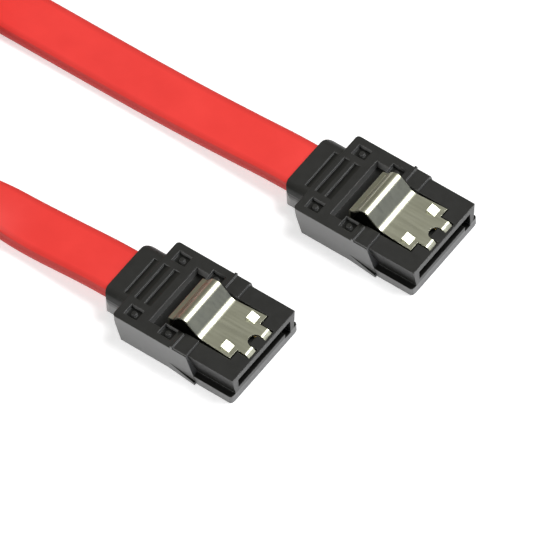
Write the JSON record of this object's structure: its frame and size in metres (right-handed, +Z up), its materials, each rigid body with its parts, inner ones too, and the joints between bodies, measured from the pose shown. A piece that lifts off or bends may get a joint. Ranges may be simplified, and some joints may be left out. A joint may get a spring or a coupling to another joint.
{
  "type": "sata data cable",
  "caption": "Flat red serial data cable with a black latching edge-contact plug on each end; the spare length is coiled and tied.",
  "frame": {"origin": "on the table, below the middle of the box round the two plugs", "axes": "+X the way both plugs mate, +Y from plug a to plug b, +Z up from the table"},
  "size_m": [0.1522, 0.0892, 0.0107],
  "materials": {
    "housing_plastic": "fine matt black",
    "grip_plastic": "satin black",
    "latch_steel": "rolled spring steel",
    "contact_metal": "gilt",
    "wire_metal": "tinned copper",
    "jacket": "satin red",
    "tie_coat": "matt black"
  },
  "bodies": {
    "cable_and_plugs": {"plug_a_housing": "housing_plastic", "plug_a_grip": "grip_plastic", "plug_a_contact_1": "contact_metal", "plug_a_contact_2": "contact_metal", "plug_a_contact_3": "contact_metal", "plug_a_contact_4": "contact_metal", "plug_a_contact_5": "contact_metal", "plug_a_contact_6": "contact_metal", "plug_a_contact_7": "contact_metal", "plug_a_wire_1": "wire_metal", "plug_a_wire_2": "wire_metal", "plug_a_wire_3": "wire_metal", "plug_a_wire_4": "wire_metal", "plug_a_wire_5": "wire_metal", "plug_a_wire_6": "wire_metal", "plug_a_wire_7": "wire_metal", "plug_b_housing": "housing_plastic", "plug_b_grip": "grip_plastic", "plug_b_contact_1": "contact_metal", "plug_b_contact_2": "contact_metal", "plug_b_contact_3": "contact_metal", "plug_b_contact_4": "contact_metal", "plug_b_contact_5": "contact_metal", "plug_b_contact_6": "contact_metal", "plug_b_contact_7": "contact_metal", "plug_b_wire_1": "wire_metal", "plug_b_wire_2": "wire_metal", "plug_b_wire_3": "wire_metal", "plug_b_wire_4": "wire_metal", "plug_b_wire_5": "wire_metal", "plug_b_wire_6": "wire_metal", "plug_b_wire_7": "wire_metal", "cable_lead_a": "jacket", "cable_lead_b": "jacket", "cable_coil": "jacket", "coil_tie": "tie_coat"},
    "latch_a": {"plug_a_latch": "latch_steel"},
    "latch_b": {"plug_b_latch": "latch_steel"}
  },
  "joints": [
    {"name": "latch_a_press", "type": "hinge", "parent": "cable_and_plugs", "child": "latch_a", "pos_m": [-0.00575, -0.01345, 0.0039], "axis": [0, 1, 0], "range_deg": [0, 2.2], "stiffness_Nm_per_rad": 0.5},
    {"name": "latch_b_press", "type": "hinge", "parent": "cable_and_plugs", "child": "latch_b", "pos_m": [0.00325, 0.01345, 0.0039], "axis": [0, 1, 0], "range_deg": [0, 2.2], "stiffness_Nm_per_rad": 0.5}
  ]
}
